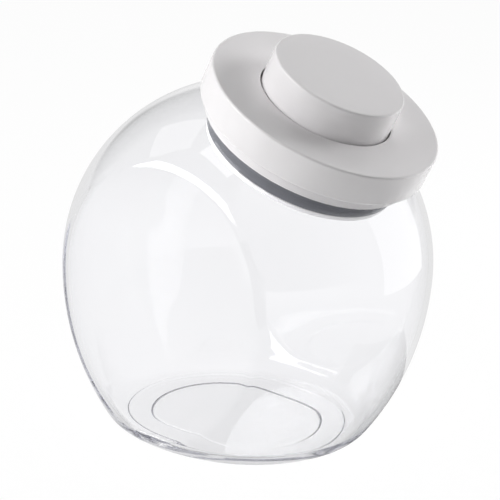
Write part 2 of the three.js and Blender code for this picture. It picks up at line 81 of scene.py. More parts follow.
# Segments in the rounding of the lid's and the button's upper edges.
EDGE_SEGMENTS = 10
# Inner rings of a level face, as shares of its outline.
FACE_RINGS = (0.6, 0.3, 0.04)
# Sides of a round wire, steps in a turn of the spring and in a bend, and the climb of a closed end
# turn in radii of its wire.
WIRE_SIDES = 14
TURN_STEPS = 40
BEND_STEPS = 10
CLOSED_CLIMB = 2.6
# Sockets of a Mix node: its two numbers, its two colours, and the colour that comes out.
NUMBER_A, NUMBER_B = 2, 3
COLOUR_A, COLOUR_B, COLOUR_OUT = 6, 7, 2
# Light crosses and follows the clear wall many times before it leaves.
LIGHT_BOUNCES = 160
VEIL_BOUNCES = 24
# Point that the lamps face, and how far away they hang, in metres.
LIT_POINT = Vector((0, 0, 0.11))
LAMP_REACH = 0.9
# Half the ground's width in metres, its drop below the foot, and the share of plain white in its look.
GROUND_HALF = 4.0
GROUND_DROP = 0.3 * MM
GLOW_SHARE = 0.965
# Brightness of the room in mirror images, from straight behind to the camera's side.
ROOM_TONES = (
    (0.0, 0.9), (0.012, 0.85), (0.024, 0.52), (0.13, 0.55), (0.2, 0.8), (0.36, 0.78), (0.6, 0.78),
    (0.95, 0.42))
# Brightness of the room's lower half in mirror images, from straight below up to the horizon.
FLOOR_TONES = (
    (0.1, 0.36), (0.2, 0.6), (0.265, 0.72), (0.31, 0.8), (0.35, 0.86), (0.42, 0.8), (0.5, 0.8))


def linear(code):
    """An sRGB hex colour as the linear red, green and blue that Blender works in."""
    shares = [int(code[i:i + 2], 16) / 255 for i in (1, 3, 5)]
    return tuple(s / 12.92 if s <= 0.04045 else ((s + 0.055) / 1.055) ** 2.4 for s in shares)


def length(name, description, millimetres):
    """A length of the object, typed in millimetres."""
    return FloatProperty(
        name=name, description=description, default=millimetres * MM, min=0.0,
        precision=5, unit="LENGTH", subtype="DISTANCE")


def tint(name, description, code):
    """A colour of the object, typed as an sRGB hex code."""
    return FloatVectorProperty(
        name=name, description=description, default=linear(code), min=0.0, max=1.0,
        subtype="COLOR", size=3)


class JarSizes(bpy.types.PropertyGroup):
    """Sizes of the clear jar."""
    ball_radius: length("Ball radius", "Radius of the round body at its widest level", 94.5)
    ball_level: length("Ball level", "Height of the widest level above the floor", 87.4)
    flank_radius: length("Flank radius", "Radius of the flatter curve below the widest level", 142)
    flat_half: FloatProperty(
        name="Half width", description="Middle of the jar to each flat side",
        default=JAR_HIGH.x, min=0.0, precision=5, unit="LENGTH", subtype="DISTANCE")
    crease: FloatProperty(
        name="Crease", description="How sharply a flat side meets the round body",
        default=80.0, min=8.0, max=400.0)
    foot_crease: FloatProperty(
        name="Foot crease", description="How sharply the foot's flats meet its round ends",
        default=14.0, min=4.0, max=100.0)
    wall: length("Wall", "Thickness of the wall", 2.8)
    corner_level: length("Corner level", "Height where the base corner starts", 8)
    foot_radius: length("Foot radius", "Outer edge of the face that the jar stands on", 57)
    foot_flat: length("Foot half width", "Middle of the foot to its flat sides", 54.6)
    foot_step: length("Foot step", "How far that face stands below the corner", 0.7)
    hollow_radius: length("Hollow radius", "Edge of the hollow under the base", 44.5)
    hollow_flat: length("Hollow half width", "Middle of the hollow to its flat sides", 38)
    hollow_depth: length("Hollow depth", "Depth of the hollow under the base", 1)
    floor: length("Floor", "Thickness of the jar's floor", 2.8)
    lip_inset: length("Lip inset", "Outside of the lid's frame to the outside of the rim", 1.5)
    around: IntProperty(
        name="Steps around", description="Points round each flat side", default=200, min=24)
    rows: IntProperty(
        name="Rows", description="Rows from the middle of a flat to the widest ring", default=56, min=12)


class LidSizes(bpy.types.PropertyGroup):
    """Sizes of the lid, with heights measured from its top face."""
    tilt: FloatProperty(
        name="Tilt", description="Lean of the mouth towards the front",
        default=math.atan2(-LIFT_AXIS.y, LIFT_AXIS.z), unit="ROTATION", subtype="ANGLE")
    frame_radius: length("Frame radius", "Outside of the ring that rests on the rim", 55.2)
    overhang: length("Overhang", "Outside of the frame to the outside of the skirt", 4.8)
    step: length("Step", "How far the frame shows below the skirt", 6.5)
    skirt: length("Skirt", "Height of the skirt", 16.4)
    edge: length("Edge", "Rounding of the lid's upper edge", 1.2)
    cover: length("Cover", "Wall of the cover", 2.4)
    sleeve: length("Sleeve", "Depth of the collar round the button", 4.6)
    bore_gap: length("Bore gap", "Gap between the button and its bore", 0.7)
    button_radius: length("Button radius", "Outside of the button", 34)
    button_rise: length("Button rise", "Top of the raised button above the lid", 16.8)
    button_wall: length("Button wall", "Wall of the button", 2.2)
    button_skirt: length("Button skirt", "Lower edge of the button below the lid's top", 3.75)
    button_edge: length("Button edge", "Rounding of the button's upper edge", 1.1)
    button_dish: length("Button dish", "How far the button's top sinks in the middle", 0.5)
    seal_radius: length("Seal radius", "Outside of the soft seal", 51)
    seal_taper: length("Seal taper", "How much narrower the seal is at its lower edge", 1.2)
    seal_inner: length("Seal bore", "Inside of the soft seal", 41.55)
    seal_height: length("Seal height", "Height of the slack seal", 9.2)
    seal_drop: length("Seal drop", "Top of the seal below the lid's top", 23.3)
    gap: length("Gap", "Clearance between resting pieces", 0.35)
    steps: IntProperty(
        name="Steps around", description="Steps in each turned shape", default=144, min=24)


class WireSizes(bpy.types.PropertyGroup):
    """Sizes of the return spring and the latch wire."""
    coil_radius: length("Coil radius", "Middle of the spring's wire from the mouth axis", 12.6)
    coil_wire: length("Coil wire", "Radius of the spring's wire", 0.8)
    coil_low: length("Coil foot", "Lower end of the spring below the lid's top", 34.3)
    coil_high: length("Coil head", "Upper end of the spring above the lid's top", 11.7)
    coil_turns: IntProperty(name="Turns", description="Turns of the spring", default=9, min=4)
    latch_wire: length("Latch wire", "Radius of the latch wire", 0.7)
    latch_upright: length("Latch upright", "Upright of the latch wire from the mouth axis", 10.5)
    latch_foot: length("Latch foot", "Foot of the latch wire from the mouth axis", 7.25)
    latch_tip: length("Latch tip", "Tip of the latch wire from the mouth axis", 4.6)
    latch_low: length("Latch low", "Foot of the latch wire below the lid's top", 30.2)
    latch_high: length("Latch high", "Tip of the latch wire below the lid's top", 13.6)
    latch_bend: length("Latch bend", "Radius of the latch wire's bends", 1.4)


class Finishes(bpy.types.PropertyGroup):
    """Colours of the object's materials."""
    clear: tint("Clear SAN", "What the clear jar lets through", "#fdfdfe")
    deep: tint("Clear SAN, deep", "Tone that a long way inside the wall takes on", "#cbcde4")
    white: tint("White ABS", "Cover, button, frame and base", "#f1eff0")
    white_deep: tint("White ABS, deeper", "Slightly deeper tone of the same plastic", "#edebec")
    inner: tint("Natural POM", "Levers, press ring and carrier", "#e7e6e0")
    inner_deep: tint("Natural POM, deeper", "Slightly deeper tone of the same plastic", "#deddd6")
    seal: tint("Grey silicone", "The soft seal", "#66676d")
    seal_deep: tint("Grey silicone, deeper", "Slightly deeper tone of the seal", "#5d5e64")
    steel: tint("Spring steel", "Spring, latch wire and pins", "#b9bcbf")
    steel_deep: tint("Spring steel, deeper", "Slightly deeper tone of the wire", "#9b9ea2")


class StageSettings(bpy.types.PropertyGroup):
    """Camera, lamps and ground."""
    azimuth: FloatProperty(
        name="Azimuth", description="Direction that the camera looks from",
        default=math.radians(-53.12), unit="ROTATION", subtype="ANGLE")
    elevation: FloatProperty(
        name="Elevation", description="Height of the camera above the horizon",
        default=math.radians(18.11), unit="ROTATION", subtype="ANGLE")
    roll: FloatProperty(
        name="Roll", description="Turn of the picture about its middle",
        default=math.radians(3.85), unit="ROTATION", subtype="ANGLE")
    distance: length("Distance", "Camera to the middle of the view", 1062.5)
    aim_height: length("Aim height", "Height of the middle of the view", 93.18)
    aim_side: FloatProperty(
        name="Aim side", description="Middle of the view to the right of the jar's middle",
        default=0.69 * MM, precision=5, unit="LENGTH", subtype="DISTANCE")
    lens: FloatProperty(
        name="Lens", description="Focal length on a 36 mm sensor", default=149.8, min=1.0)
    key: FloatProperty(name="Key lamp", description="Power of the large lamp on the left", default=6.9)
    fill: FloatProperty(name="Fill lamp", description="Power of the lamp on the right", default=5.8)
    hair: FloatProperty(name="Hair lamp", description="Power of the lamp above and behind", default=1.9)
    side: FloatProperty(name="Side panel", description="Power of the panel on the right", default=1.1)
    top: FloatProperty(name="Top lamp", description="Power of the overhead lamp", default=1.0)
    back: FloatProperty(name="Back panel", description="Power of the faint panel behind", default=0.35)
    shade: FloatProperty(name="Shade", description="Light of the room on matt faces", default=0.03)


def add_node(tree, kind, values=(), links=(), **options):
    """A shader node with its options, its sockets' values and its links from other sockets."""
    made = tree.nodes.new(kind)
    for name, value in options.items():
        setattr(made, name, value)
    for name, value in dict(values).items():
        made.inputs[name].default_value = value
    for name, source in dict(links).items():
        tree.links.new(source, made.inputs[name])
    return made


def per_metre(millimetres):
    """Texture scale for a pattern that repeats at that real size."""
    return 1 / (millimetres * MM)


def start_material(name):
    """An empty node material with its Principled shader and Object coordinates."""
    material = bpy.data.materials.new(name)
    material.use_nodes = True
    tree = material.node_tree
    tree.nodes.clear()
    shader = add_node(tree, "ShaderNodeBsdfPrincipled")
    output = add_node(tree, "ShaderNodeOutputMaterial")
    tree.links.new(shader.outputs["BSDF"], output.inputs["Surface"])
    place = add_node(tree, "ShaderNodeTexCoord").outputs["Object"]
    return material, tree, shader, output, place


def moulded(name, tone, deep, roughness, grain, relief):
    """Opaque piece with a soft drift of tone and a fine grain, in millimetres, in gloss and relief."""
    material, tree, shader, _, place = start_material(name)
    drift = add_node(
        tree, "ShaderNodeTexNoise", {"Scale": per_metre(26), "Detail": 2.0}, {"Vector": place})
    mix = add_node(
        tree, "ShaderNodeMix", {COLOUR_A: (*tone, 1), COLOUR_B: (*deep, 1)},
        {"Factor": drift.outputs["Fac"]}, data_type="RGBA")
    # The real grain is too fine to show, so it is drawn coarser, at about a millimetre.
    fine = add_node(
        tree, "ShaderNodeTexNoise", {"Scale": per_metre(grain), "Detail": 3.0}, {"Vector": place})
    gloss = add_node(
        tree, "ShaderNodeMapRange",
        {"From Min": 0.3, "From Max": 0.7, "To Min": roughness - 0.03, "To Max": roughness + 0.03},
        {"Value": fine.outputs["Fac"]})
    bump = add_node(
        tree, "ShaderNodeBump", {"Strength": 0.25, "Distance": relief * MM},
        {"Height": fine.outputs["Fac"]})
    tree.links.new(mix.outputs[COLOUR_OUT], shader.inputs["Base Color"])
    tree.links.new(gloss.outputs["Result"], shader.inputs["Roughness"])
    tree.links.new(bump.outputs["Normal"], shader.inputs["Normal"])
    return material, shader


def clear_san(finish):
    """Clear SAN from a polished mould: glass-like, with a slow waviness of the wall."""
    material, tree, shader, output, place = start_material("clear_san")
    shader.inputs["Base Color"].default_value = (*finish.clear, 1)
    shader.inputs["Transmission Weight"].default_value = 1.0
    shader.inputs["IOR"].default_value = 1.57
    wave = add_node(
        tree, "ShaderNodeTexNoise", {"Scale": per_metre(38), "Detail": 1.0}, {"Vector": place})
    bump = add_node(
        tree, "ShaderNodeBump", {"Strength": 0.3, "Distance": 0.05 * MM},
        {"Height": wave.outputs["Fac"]})
    polish = add_node(
        tree, "ShaderNodeMapRange", {"To Min": 0.0, "To Max": 0.03}, {"Value": wave.outputs["Fac"]})
    tree.links.new(polish.outputs["Result"], shader.inputs["Roughness"])
    tree.links.new(bump.outputs["Normal"], shader.inputs["Normal"])
    # Clear plastic lets most of a lamp's light through, so its shadow is faint.
    path = add_node(tree, "ShaderNodeLightPath")
    veil = add_node(tree, "ShaderNodeBsdfTransparent", {"Color": (0.94, 0.95, 0.95, 1)})
    mix = add_node(tree, "ShaderNodeMixShader", links={"Fac": path.outputs["Is Shadow Ray"]})
    tree.links.new(shader.outputs["BSDF"], mix.inputs[1])
    tree.links.new(veil.outputs["BSDF"], mix.inputs[2])
    tree.links.new(mix.outputs["Shader"], output.inputs["Surface"])
    # Light that runs along inside the wall comes out bluish at the limb and the foot.
    depth = add_node(tree, "ShaderNodeVolumeAbsorption", {"Color": (*finish.deep, 1), "Density": 2.5})
    tree.links.new(depth.outputs["Volume"], output.inputs["Volume"])
    return material


def white_abs(finish):
    """White ABS with a satin gloss: bright, with soft mirror images in its flat faces."""
    return moulded(
        "white_abs", finish.white, finish.white_deep, roughness=0.12, grain=0.7, relief=0.01)[0]


def natural_pom(finish):
    """Natural POM as moulded: milky white and waxy, without a polish."""
    return moulded(
        "natural_pom", finish.inner, finish.inner_deep, roughness=0.45, grain=0.9, relief=0.015)[0]


def grey_silicone(finish):
    """Grey silicone: dull and slightly soft in its highlights."""
    material, shader = moulded(
        "grey_silicone", finish.seal, finish.seal_deep, roughness=0.42, grain=1.1, relief=0.02)
    shader.inputs["IOR"].default_value = 1.43
    return material


def spring_steel(finish):
    """Drawn spring steel: bright wire with a slightly uneven gloss."""
    material, shader = moulded(
        "spring_steel", finish.steel, finish.steel_deep, roughness=0.28, grain=0.5, relief=0.01)
    shader.inputs["Metallic"].default_value = 1.0
    return material


def finish_of(maker):
    """The material that a maker gives, made once."""
    found = bpy.data.materials.get(maker.__name__)
    return found or maker(bpy.context.scene.jar_finishes)


def lid_place():
    """Where the lid's own axes stand in the jar's frame."""
    jar, lid = bpy.context.scene.jar_sizes, bpy.context.scene.lid_sizes
    lip = lid.frame_radius - jar.lip_inset
    rim = lid.skirt + lid.step + lid.gap
    rise = math.sqrt(jar.ball_radius ** 2 - lip ** 2) + rim
    middle = Vector((0, 0, jar.ball_level)) + rise * LIFT_AXIS
    return Matrix.Translation(middle) @ Matrix.Rotation(lid.tilt, 4, "X")


def add_piece(name, bm, material, body, replaced, sharp=35):
    """Makes a mesh object of the shape, smooth between its sharp edges, riding on its body."""
    mesh = bpy.data.meshes.new(name)
    bm.to_mesh(mesh)
    bm.free()
    mesh.shade_smooth()
    mesh.set_sharp_from_angle(angle=math.radians(sharp))
    mesh.materials.append(material)
    made = bpy.data.objects.new(name, mesh)
    bpy.context.scene.collection.objects.link(made)
    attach(made, body)
    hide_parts(*replaced)
    return made


def turned(outline, steps, closed=True):
    """A bmesh of an outline of (radius, height) points spun about the mouth axis."""
    bm = bmesh.new()
    verts = [bm.verts.new((r, 0, z)) for r, z in outline]
    ends = verts[1:] + verts[:1] if closed else verts[1:]
    edges = [bm.edges.new(pair) for pair in zip(verts, ends)]
    bmesh.ops.spin(
        bm, geom=verts + edges, cent=(0, 0, 0), axis=(0, 0, 1), angle=FULL_TURN,
        steps=steps, use_merge=True)
    bmesh.ops.remove_doubles(bm, verts=bm.verts, dist=MERGE_GAP)
    bmesh.ops.recalc_face_normals(bm, faces=bm.faces)
    return bm


def round_off(bm, corners, segments=6):
    """Bevels the edge circles at (radius, height) by each corner's own amount."""
    for radius, height, amount in corners:
        circle = [
            e for e in bm.edges if all(
                abs(math.hypot(v.co.x, v.co.y) - radius) < MERGE_GAP
                and abs(v.co.z - height) < MERGE_GAP for v in e.verts)]
        bmesh.ops.bevel(
            bm, geom=circle, offset=amount, offset_type="OFFSET", segments=segments,
            profile=0.5, affect="EDGES", material=-1)


class JarSkin:
    """The jar's outer skin, or its inner one, which is moved in by the wall."""

    def __init__(self, jar, inset):
        self.jar = jar
        self.inset = inset
        self.tilted = lid_place()
        self.upright = self.tilted.inverted()
        self.middle = Vector((0, 0, jar.ball_level))
        self.flat = jar.flat_half - inset

    def round_reach(self, level):
        """Radius of the round body at a level, counted up from its widest one."""
        curve = self.jar.ball_radius if level > 0 else self.jar.flank_radius
        return self.jar.ball_radius - curve + math.sqrt((curve - self.inset) ** 2 - level ** 2)

    def body_reach(self, way):
        """Distance from the ball's middle to the round body, along a direction."""
        curve = self.jar.ball_radius if way.z > 0 else self.jar.flank_radius
        shift = self.jar.ball_radius - curve
        out = shift * math.hypot(way.x, way.y)
        return out + math.sqrt(out ** 2 - shift ** 2 + (curve - self.inset) ** 2)

    def reach(self, way):
        """Distance to the skin, whose flats meet the round body in a small rounding."""
        near, far = sorted((self.body_reach(way), self.flat / max(abs(way.x), 1e-6)))
        power = self.jar.crease
        return near * (1 + max(near / far, 0.5) ** power) ** (-1 / power)

    def way(self, angle, turn):
        """Direction at an angle from the X axis and a turn about it."""
        out = math.sin(angle)
        return Vector((math.cos(angle), out * math.sin(turn), out * math.cos(turn)))

    def crease_angle(self, turn):
        """Angle from the X axis to the crease round a flat, at a turn about that axis."""
        low, high = 0.0, math.pi / 2
        for _ in range(30):
            angle = (low + high) / 2
            flat_first = self.flat < math.cos(angle) * self.body_reach(self.way(angle, turn))
            low, high = (angle, high) if flat_first else (low, angle)
        return low

    def add_to(self, bm):
        """Adds the closed skin: a grid wrapped round the X axis, from one flat's middle to the other."""
        grid = bmesh.ops.create_grid(
            bm, x_segments=self.jar.around, y_segments=2 * self.jar.rows, size=1.0)["verts"]
        creases = {}
        for vert in grid:
            turn = round(math.pi * vert.co.x, 5)
            if turn not in creases:
                creases[turn] = self.crease_angle(turn)
            way = self.way(self.row_angle(1 - abs(vert.co.y), creases[turn]), turn)
            way.x = math.copysign(way.x, vert.co.y)
            vert.co = self.middle + self.reach(way) * way
        bmesh.ops.remove_doubles(bm, verts=grid, dist=0.01 * MM)
        return [v for v in grid if v.is_valid]

    def row_angle(self, share, crease):
        """Spreads the rows from a flat's middle out to the widest ring, close together at the crease."""
        start, end = BAND_SHARES
        stops = (
            (0, 0), (start, crease - CREASE_BAND), (end, crease + CREASE_BAND), (1, math.pi / 2))
        for (a, low), (b, high) in zip(stops, stops[1:]):
            if share <= b + 1e-4:
                return low + (high - low) * (share - a) / (b - a)

    def mouth_height(self, radius):
        """Height on the mouth axis, from the lid's top, where the round body has a radius about it."""
        ball = self.jar.ball_radius - self.inset
        return math.sqrt(ball ** 2 - radius ** 2) - (self.tilted.translation - self.middle).length

    def cut_open(self, bm, verts, mouth_radius, foot_level):
        """Cuts off the mouth and the foot, and gives the two open edge loops."""
        mouth = self.tilted @ Vector((0, 0, self.mouth_height(mouth_radius)))
        loops = []
        for place, way in ((mouth, LIFT_AXIS), (Vector((0, 0, foot_level)), Vector((0, 0, -1)))):
            verts = [v for v in verts if v.is_valid]
            geom = {g for v in verts for g in (v, *v.link_edges, *v.link_faces)}
            cut = bmesh.ops.bisect_plane(
                bm, geom=list(geom), dist=FINE_GAP, plane_co=place, plane_no=way, clear_outer=True)
            loop = [g for g in cut["geom_cut"] if isinstance(g, bmesh.types.BMEdge)]
            verts = [g for g in cut["geom"] if isinstance(g, bmesh.types.BMVert) and g.is_valid]
            loops.append(loop)
        return loops

    def on_mouth(self, point, radius, height):
        """The point moved to a radius and height about the mouth axis."""
        flat = self.upright @ point
        turn = math.atan2(flat.y, flat.x)
        return self.tilted @ Vector((radius * math.cos(turn), radius * math.sin(turn), height))

    def on_outline(self, point, radius, flat, height):
        """The point moved to a level circle with two flats."""
        turn = math.atan2(point.y, point.x)
        power = self.jar.foot_crease
        reach = (radius ** -power + (abs(math.cos(turn)) / flat) ** power) ** (-1 / power)
        return Vector((reach * math.cos(turn), reach * math.sin(turn), height))

    def on_corner(self, point, top, foot, share):
        """The point moved along the rounded corner from the skin at top in to the foot."""
        turn = math.atan2(point.y, point.x)
        out = Vector((math.cos(turn), math.sin(turn), 0))
        low = self.round_reach(top - self.jar.ball_level)
        slope = (self.round_reach(top + MM - self.jar.ball_level) - low) / MM
        end = self.on_outline(point, *foot)
        bend = (low - slope * (top - end.z)) * out + Vector((0, 0, end.z))
        start = low * out + Vector((0, 0, top))
        place = start.lerp(bend, share).lerp(bend.lerp(end, share), share)
        place.x = max(-self.flat, min(self.flat, place.x))
        return place


def rounded(start, corner, end, steps=6):
    """Points that round off the corner between a start and an end, each of two numbers."""
    start, corner, end = Vector(start), Vector(corner), Vector(end)
    shares = [k / steps for k in range(1, steps + 1)]
    return [start.lerp(corner, t).lerp(corner.lerp(end, t), t) for t in shares]


def drawn_on(bm, edges, moves):
    """Extrudes an open edge loop through each move of its points, and gives the last loop."""
    homes = {v: v.co.copy() for e in edges for v in e.verts}
    for move in moves:
        grown = bmesh.ops.extrude_edge_only(bm, edges=edges)["geom"]
        fresh = {g for g in grown if isinstance(g, bmesh.types.BMVert)}
        homes = {
            vert: next(homes[e.other_vert(vert)] for e in vert.link_edges if e.other_vert(vert) in homes)
            for vert in fresh}
        for vert, home in homes.items():
            vert.co = move(home)
        edges = [
            g for g in grown if isinstance(g, bmesh.types.BMEdge) and fresh.issuperset(g.verts)]
    return edges


class JAR_OT_body(bpy.types.Operator):
    """Builds the clear jar: outside, rim and inside as one closed wall"""
    bl_idname = "storage_jar.body"
    bl_label = "Clear Jar"
    # How far the corner reaches past the foot's outline, and the roundings at the foot's outer edge
    # and at the hollow's edge, each as the place of its bend and its width.
    foot_spread = 0.2 * MM
    foot_bend = 0.2 * MM
    foot_round = 2.0 * MM
    hollow_bend = 0.4 * MM
    hollow_round = 2.2 * MM
    edge_steps = 12

    def execute(self, context):
        jar, lid = context.scene.jar_sizes, context.scene.lid_sizes
        floor = jar.hollow_depth + jar.floor
        inner_corner = floor + jar.corner_level
        rim = -(lid.skirt + lid.step + lid.gap)
        lip = lid.frame_radius - jar.lip_inset
        bore = lid.seal_radius + SEAL_ROOM
        bm = bmesh.new()
        outer = JarSkin(jar, 0)
        mouth, foot = outer.cut_open(bm, outer.add_to(bm), lip + LIP_ROUND, jar.corner_level)
        outer_rim = drawn_on(bm, mouth, [
            lambda p, r=r, h=h: outer.on_mouth(p, r, h) for r, h in rounded(
                (lip + LIP_ROUND, outer.mouth_height(lip + LIP_ROUND)), (lip, rim),
                (lip - LIP_ROUND, rim))])
        spread = self.foot_spread
        standing = (jar.foot_radius + spread, jar.foot_flat + spread, jar.foot_step)
        shares = [k / CORNER_STEPS for k in range(1, CORNER_STEPS + 1)]
        end = drawn_on(bm, foot, [
            lambda p, t=t: outer.on_corner(p, jar.corner_level, standing, t) for t in shares])
        end = drawn_on(bm, end, [
            lambda p, o=o: outer.on_outline(p, *o) for o in self.underside(jar)])
        bmesh.ops.edgeloop_fill(bm, edges=end)
        inner = JarSkin(jar, jar.wall)
        mouth, foot = inner.cut_open(bm, inner.add_to(bm), bore + LIP_ROUND, inner_corner)
        land = inner.mouth_height(bore)
        inner_rim = drawn_on(bm, mouth, [
            lambda p, r=r, h=h: inner.on_mouth(p, r, h) for r, h in rounded(
                (bore + LIP_ROUND, inner.mouth_height(bore + LIP_ROUND)), (bore, land),
                (bore, land + LIP_ROUND)) + rounded(
                (bore, rim - LIP_ROUND), (bore, rim), (bore + LIP_ROUND, rim))])
        floor_edge = (jar.foot_radius - jar.wall, jar.foot_flat - jar.wall, floor)
        end = drawn_on(bm, foot, [
            lambda p, t=t: inner.on_corner(p, inner_corner, floor_edge, t) for t in shares])
        end = drawn_on(bm, end, [
            lambda p, s=s: inner.on_outline(p, floor_edge[0] * s, floor_edge[1] * s, floor)
            for s in (0.97, *FACE_RINGS)])
        bmesh.ops.edgeloop_fill(bm, edges=end)
        bmesh.ops.triangle_fill(bm, use_beauty=True, edges=outer_rim + inner_rim, normal=LIFT_AXIS)
        bmesh.ops.recalc_face_normals(bm, faces=bm.faces)
        add_piece("jar_shell", bm, finish_of(clear_san), "jar", ["jar_body"])
        return {"FINISHED"}

    def underside(self, jar):
        """Outlines from the foot's step in over the edge of the hollow to its middle."""
        depth = jar.hollow_depth
        step = rounded(
            (-self.foot_spread, jar.foot_step), (self.foot_bend, 0), (self.foot_round, 0),
            self.edge_steps)
        slope = rounded(
            (0, 0), (self.hollow_bend, depth), (self.hollow_round, depth), self.edge_steps)
        ring = [(jar.foot_radius - i, jar.foot_flat - i, h) for i, h in step]
        edge = [(jar.hollow_radius - i, jar.hollow_flat - i, h) for i, h in ((0, 0), *slope)]
        return ring + edge + [
            (jar.hollow_radius * s, jar.hollow_flat * s, depth) for s in (0.9, *FACE_RINGS)]


class JAR_OT_cover(bpy.types.Operator):
    """Builds the lid's white cover with its bore, skirt, collar and posts"""
    bl_idname = "storage_jar.cover"
    bl_label = "Lid Cover"
    collar_wall = 2.2 * MM
    # Roundings at the bore's top and at the skirt's lower edge, outside and inside.
    bore_edge = 0.8 * MM
    skirt_edge = 0.9 * MM
    inner_edge = 0.4 * MM
    # Posts: in from the frame's outside, rooted in the cover's top, down to below the lid's top face.
    post_radius = 1.7 * MM
    post_inset = 3.2 * MM
    post_root = 0.5 * MM
    post_reach = 20.4 * MM
    post_sides = 24

    def execute(self, context):
        lid = context.scene.lid_sizes
        outer = lid.frame_radius + lid.overhang
        bore = lid.button_radius + lid.bore_gap
        collar = bore + self.collar_wall
        inner = outer - lid.cover
        bm = turned([
            (bore, -lid.sleeve), (collar, -lid.sleeve), (collar, -lid.cover), (inner, -lid.cover),
            (inner, -lid.skirt), (outer, -lid.skirt), (outer, 0), (bore, 0)], lid.steps)
        round_off(bm, [(outer, 0, lid.edge)], EDGE_SEGMENTS)
        round_off(bm, [
            (bore, 0, self.bore_edge), (outer, -lid.skirt, self.skirt_edge),
            (inner, -lid.skirt, self.inner_edge)])
        post_top = self.post_root - lid.cover
        for quarter in range(4):
            place = Matrix.Rotation(quarter * FULL_TURN / 4, 4, "Z") @ Matrix.Translation(
                (lid.frame_radius - self.post_inset, 0, (post_top - self.post_reach) / 2))
            bmesh.ops.create_cone(
                bm, cap_ends=True, segments=self.post_sides, radius1=self.post_radius,
                radius2=self.post_radius, depth=post_top + self.post_reach, matrix=place)
        bmesh.ops.transform(bm, matrix=lid_place(), verts=bm.verts)
        add_piece("cover_shell", bm, finish_of(white_abs), "lid", ["lid_cover"])
        return {"FINISHED"}


class JAR_OT_button(bpy.types.Operator):
    """Builds the push button: dished cap, turned-in rim and the ring that clips the carrier"""
    bl_idname = "storage_jar.button"
    bl_label = "Push Button"
    # Turned-in rim at the lower edge.
    rim_width = 4.3 * MM
    rim_height = 2.2 * MM
    low_edge = 0.4 * MM
    # Ring under the ceiling, with the hook that clips the carrier.
    clip_inset = 9.95 * MM
    clip_wall = 2 * MM
    clip_depth = 3.85 * MM
    hook_reach = 0.65 * MM
    hook_top = 2.9 * MM
    hook_low = 3.4 * MM
    ceiling_sag = 0.4 * MM
    # Shallow dish in the top, which starts this far in.
    dish_inset = 4 * MM
    dish_steps = 12

    def execute(self, context):
        lid = context.scene.lid_sizes
        radius, top, low = lid.button_radius, lid.button_rise, -lid.button_skirt
        ceiling = top - lid.button_wall
        inside = radius - lid.button_wall
        rim = radius - self.rim_width
        clip = radius - self.clip_inset
        hook = clip - self.hook_reach
        clip_back = clip + self.clip_wall
        dish_edge = radius - self.dish_inset
        dish = []
        for k in range(self.dish_steps + 1):
            t = 1 - k / self.dish_steps
            dish.append((dish_edge * t, top - lid.button_dish * (1 - t * t) ** 2))
        bm = turned([
            (0, ceiling - self.ceiling_sag), (clip, ceiling), (clip, ceiling - self.hook_top),
            (hook, ceiling - self.hook_low), (hook, ceiling - self.clip_depth),
            (clip_back, ceiling - self.clip_depth), (clip_back, ceiling),
            (inside, ceiling - self.ceiling_sag), (inside, low + self.rim_height),
            (rim, low + self.rim_height), (rim, low), (radius, low), (radius, top), *dish],
            lid.steps, closed=False)
        round_off(bm, [(radius, top, lid.button_edge)], EDGE_SEGMENTS)
        round_off(bm, [(radius, low, self.low_edge)], 4)
        bmesh.ops.transform(bm, matrix=lid_place(), verts=bm.verts)
        add_piece("button_cap", bm, finish_of(white_abs), "button", ["push_button"])
        return {"FINISHED"}


class JAR_OT_seal(bpy.types.Operator):
    """Builds the soft grey seal"""
    bl_idname = "storage_jar.seal"
    bl_label = "Seal Ring"
    # Level where the taper starts, and the roundings there, outside and inside.
    shoulder_drop = 3 * MM
    shoulder_edge = 1.2 * MM
    outer_edge = 0.8 * MM
    inner_edge = 0.4 * MM

    def execute(self, context):
        lid = context.scene.lid_sizes
        top = -lid.seal_drop
        low = top - lid.seal_height
        shoulder = top - self.shoulder_drop
        foot = lid.seal_radius - lid.seal_taper
        bm = turned([
            (lid.seal_inner, low), (foot, low), (lid.seal_radius, shoulder), (lid.seal_radius, top),
            (lid.seal_inner, top)], lid.steps)
        round_off(bm, [
            (foot, low, self.outer_edge), (lid.seal_radius, top, self.outer_edge),
            (lid.seal_radius, shoulder, self.shoulder_edge), (lid.seal_inner, low, self.inner_edge),
            (lid.seal_inner, top, self.inner_edge)])
        place = lid_place()
        bmesh.ops.transform(bm, matrix=place, verts=bm.verts)
        seal = add_piece("seal_band", bm, finish_of(grey_silicone), "lid", ["seal_ring"])
        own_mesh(seal)
        return {"FINISHED"}


def wire_end(bm, radius, place):
    """Starts a round wire: a circle at its place, which is then swept."""
    made = bmesh.ops.create_circle(
        bm, cap_ends=False, radius=radius, segments=WIRE_SIDES, matrix=place)["verts"]
    return made + list({e for v in made for e in v.link_edges})


def swept(bm, geom, centre, axis, angle, steps, climb=0.0):
    """Spins the wire's end on about an axis, climbing along it, and gives the new end."""
    return bmesh.ops.spin(
        bm, geom=geom, cent=centre, axis=axis, angle=angle, steps=steps,
        dvec=Vector(axis) * (climb / steps))["geom_last"]


def pushed(bm, geom, move):
    """Pushes the wire's end straight on and gives the new end."""
    edges = [g for g in geom if isinstance(g, bmesh.types.BMEdge)]
    grown = bmesh.ops.extrude_edge_only(bm, edges=edges)["geom"]
    verts = [g for g in grown if isinstance(g, bmesh.types.BMVert)]
    bmesh.ops.translate(bm, vec=move, verts=verts)
    return verts + [
        g for g in grown if isinstance(g, bmesh.types.BMEdge) and set(verts).issuperset(g.verts)]


def closed_wire(bm):
    """Closes both ends of a swept wire and turns its faces outwards."""
    bmesh.ops.remove_doubles(bm, verts=bm.verts, dist=FINE_GAP)
    bmesh.ops.holes_fill(bm, edges=bm.edges, sides=0)
    bmesh.ops.recalc_face_normals(bm, faces=bm.faces)


